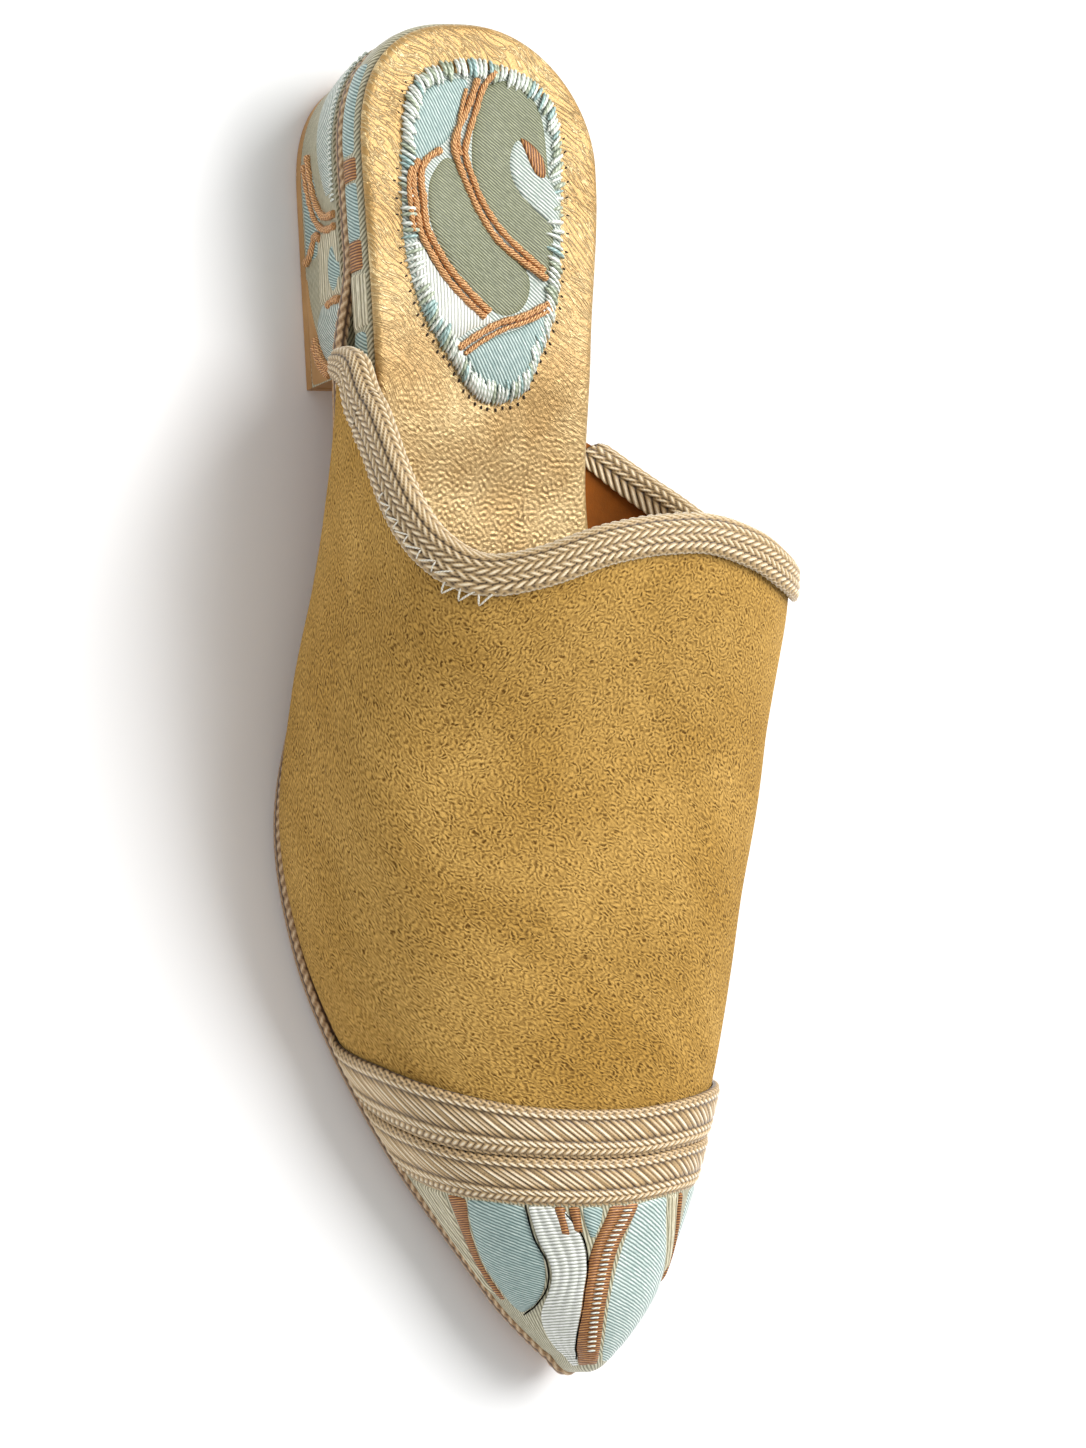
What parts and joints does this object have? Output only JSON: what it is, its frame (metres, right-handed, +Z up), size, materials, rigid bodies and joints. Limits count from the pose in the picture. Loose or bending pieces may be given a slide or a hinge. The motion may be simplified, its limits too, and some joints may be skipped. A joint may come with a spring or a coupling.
{
  "type": "babouche slipper",
  "caption": "Pointed backless slipper on a low covered heel, with a hollow suede upper, braided collar and toe bands, brocade toe cap, platform and heel, and a metallic leather insole.",
  "frame": {"origin": "on the floor, under the middle of the shoe's bounding box", "axes": "+X from heel to toe, +Y towards the inner (medial) side of this right shoe, +Z up from the floor"},
  "size_m": [0.2556, 0.093, 0.0775],
  "materials": {
    "sole_leather": "tan vegetable-tanned leather, waxed edge",
    "brocade": "woven and embroidered brocade in pale teal, sage, silver and copper",
    "gold_leather": "crinkled metallic gold leather",
    "suede": "mustard suede with a fine worm-like nap, rust-brown leather lining",
    "toe_braid": "flat golden-beige herringbone braid",
    "collar_braid": "plaited champagne braid with rolled edges",
    "piping": "round beige braided cord"
  },
  "bodies": {
    "root": {"outsole": "sole_leather", "platform": "brocade", "insole": "gold_leather", "upper": "suede", "toe_cap": "brocade", "toe_band_rear": "toe_braid", "toe_band_front": "toe_braid", "collar_binding": "collar_braid", "sole_piping": "piping", "heel_block": "brocade", "heel_lift": "sole_leather"}
  },
  "joints": []
}
